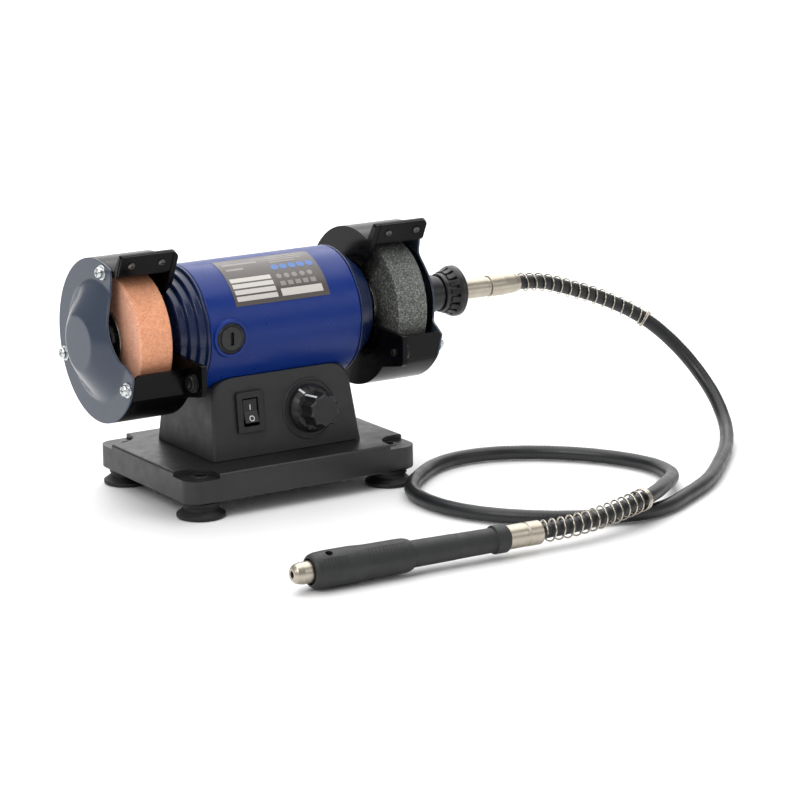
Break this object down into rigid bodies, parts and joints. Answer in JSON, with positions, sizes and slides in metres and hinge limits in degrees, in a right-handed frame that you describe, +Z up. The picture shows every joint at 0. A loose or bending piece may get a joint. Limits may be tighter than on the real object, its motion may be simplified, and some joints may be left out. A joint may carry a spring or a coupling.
{
  "type": "bench grinder",
  "caption": "Small bench grinder with two guarded wheels, speed dial, rocker switch and a flexible drive shaft ending in a rotary handpiece.",
  "frame": {"origin": "on the bench, under the middle of the machine without its flexible shaft", "axes": "+X along the motor shaft towards the output coupling, front towards -Y, +Z up"},
  "size_m": [0.4009, 0.2678, 0.148],
  "materials": {
    "charcoal_plastic": "fine satin texture",
    "black_rubber": "matte",
    "black_plastic": "satin",
    "knob_plastic": "satin",
    "bright_steel": "turned",
    "circuit_board": "lacquered",
    "blue_paint": "satin gloss",
    "navy_paint": "gloss",
    "lamination_steel": "laminated",
    "copper": "bright",
    "carbon": "matte",
    "black_gloss": "gloss",
    "slate_paint": "satin gloss",
    "black_steel": "blackened",
    "orange_abrasive": "fine abrasive grit",
    "grey_abrasive": "coarse abrasive grit",
    "zinc": "bright zinc",
    "nickel": "satin nickel",
    "tube_rubber": "satin sheath",
    "grip_plastic": "matte"
  },
  "bodies": {
    "machine": {"base_plate": "charcoal_plastic", "bottom_cover": "charcoal_plastic", "pedestal": "charcoal_plastic", "foot_front_left": "black_rubber", "foot_front_right": "black_rubber", "foot_rear_left": "black_rubber", "foot_rear_right": "black_rubber", "switch_housing": "black_plastic", "speed_potentiometer": "bright_steel", "control_board": "circuit_board", "cable_gland": "black_rubber", "motor_barrel": "blue_paint", "end_bell_left": "navy_paint", "end_bell_right": "navy_paint", "field_stator": "lamination_steel", "bearing_left": "bright_steel", "bearing_right": "bright_steel", "brush_cap_front": "black_plastic", "brush_cap_rear": "black_plastic", "carbon_brush_front": "carbon", "carbon_brush_rear": "carbon", "guard_housing_left": "black_gloss", "guard_housing_right": "black_gloss", "guard_cover_left": "slate_paint", "guard_cover_right": "slate_paint", "spark_deflector_left": "black_gloss", "spark_deflector_right": "black_gloss", "tool_rest_bolt_left": "black_steel", "tool_rest_bolt_right": "black_steel", "tool_rest_nut_left": "black_steel", "tool_rest_nut_right": "black_steel", "output_collar": "black_plastic", "drive_ferrule": "nickel", "drive_spring": "nickel", "flex_tube": "tube_rubber", "handpiece_spring": "nickel", "handpiece_ferrule": "nickel", "handpiece_body": "grip_plastic", "handpiece_grip": "grip_plastic", "cover_screw_left_1": "zinc", "cover_screw_left_2": "zinc", "cover_screw_left_3": "zinc", "cover_screw_right_1": "zinc", "cover_screw_right_2": "zinc", "cover_screw_right_3": "zinc"},
    "rotor": {"motor_shaft": "bright_steel", "armature": "lamination_steel", "commutator": "copper", "cooling_fan": "charcoal_plastic", "grinding_wheel_left": "orange_abrasive", "grinding_wheel_right": "grey_abrasive", "wheel_flange_left": "bright_steel", "wheel_flange_right": "bright_steel", "wheel_nut_left": "zinc", "wheel_nut_right": "zinc"},
    "rocker": {"switch_rocker": "black_plastic"},
    "knob": {"speed_knob": "knob_plastic"},
    "coupling": {"coupling_nut": "black_plastic"},
    "collet": {"collet_spindle": "nickel"}
  },
  "joints": [
    {"name": "rotor_spin", "type": "hinge", "parent": "machine", "child": "rotor", "pos_m": [-0.0103, 0, 0.096], "axis": [1, 0, 0], "continuous": true},
    {"name": "rocker_tilt", "type": "hinge", "parent": "machine", "child": "rocker", "pos_m": [-0.0323, -0.02837, 0.0506], "axis": [1, 0, 0], "range_deg": [0, 18]},
    {"name": "knob_turn", "type": "hinge", "parent": "machine", "child": "knob", "pos_m": [0.0067, -0.03074, 0.04755], "axis": [0, 0.9932, -0.1162], "range_deg": [-105, 165]},
    {"name": "coupling_turn", "type": "hinge", "parent": "machine", "child": "coupling", "pos_m": [0.1202, 0, 0.096], "axis": [1, 0, 0], "continuous": true},
    {"name": "collet_spin", "type": "hinge", "parent": "machine", "child": "collet", "pos_m": [0.0439, -0.204, 0.0099], "axis": [-0.9988, 0.0489, 0], "continuous": true}
  ],
  "couplings": [
    {"joint": "collet_spin", "follows": "rotor_spin", "ratio": 1}
  ]
}
